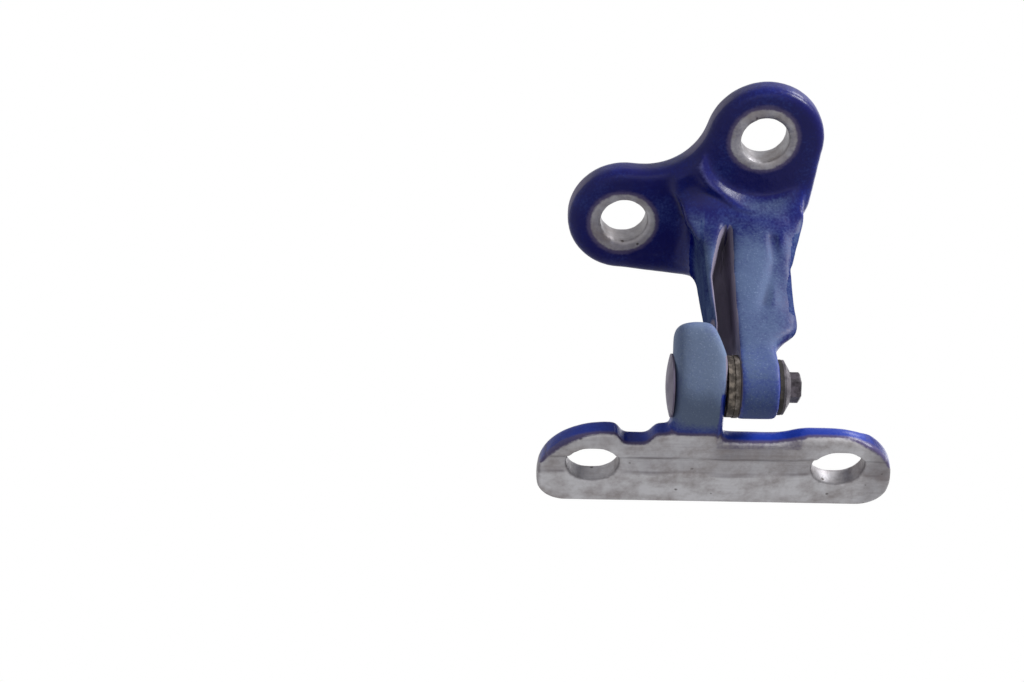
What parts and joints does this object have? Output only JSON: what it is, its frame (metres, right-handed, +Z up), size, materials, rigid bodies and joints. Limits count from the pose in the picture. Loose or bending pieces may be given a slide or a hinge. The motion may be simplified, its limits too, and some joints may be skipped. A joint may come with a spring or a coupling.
{
  "type": "car door hinge",
  "caption": "Painted forged car door hinge: a slotted pillar leaf and an eared door leaf on an arm, swinging on a headed pin with a bolted end washer.",
  "frame": {"origin": "midway between the pillar leaf's two slots, on its bare mating face", "axes": "+Z up along the pin axis, +Y out of the pillar leaf's mating face into the pillar, +X from the slots towards the pin"},
  "size_m": [0.0927, 0.097, 0.109],
  "materials": {
    "pillar_paint": "body-colour blue paint over a forging, bare on the mating face",
    "door_paint": "body-colour blue paint over a forging, bare rings round the bolt holes",
    "pin_steel": "painted-over steel head, dull",
    "washer_steel": "greasy steel",
    "bush_bronze": "dirty sintered bronze",
    "fixing_steel": "dark phosphated steel"
  },
  "bodies": {
    "pillar_half": {"pillar_leaf": "pillar_paint", "hinge_pin": "pin_steel", "thrust_washer": "washer_steel", "retaining_washer": "fixing_steel", "retaining_bolt": "fixing_steel"},
    "door_half": {"door_leaf": "door_paint", "lower_bush": "bush_bronze", "upper_bush": "bush_bronze"}
  },
  "joints": [
    {"name": "door_swing", "type": "hinge", "parent": "pillar_half", "child": "door_half", "pos_m": [0.026, -0.01, 0], "axis": [0, 0, 1], "range_deg": [-75, 4]}
  ]
}
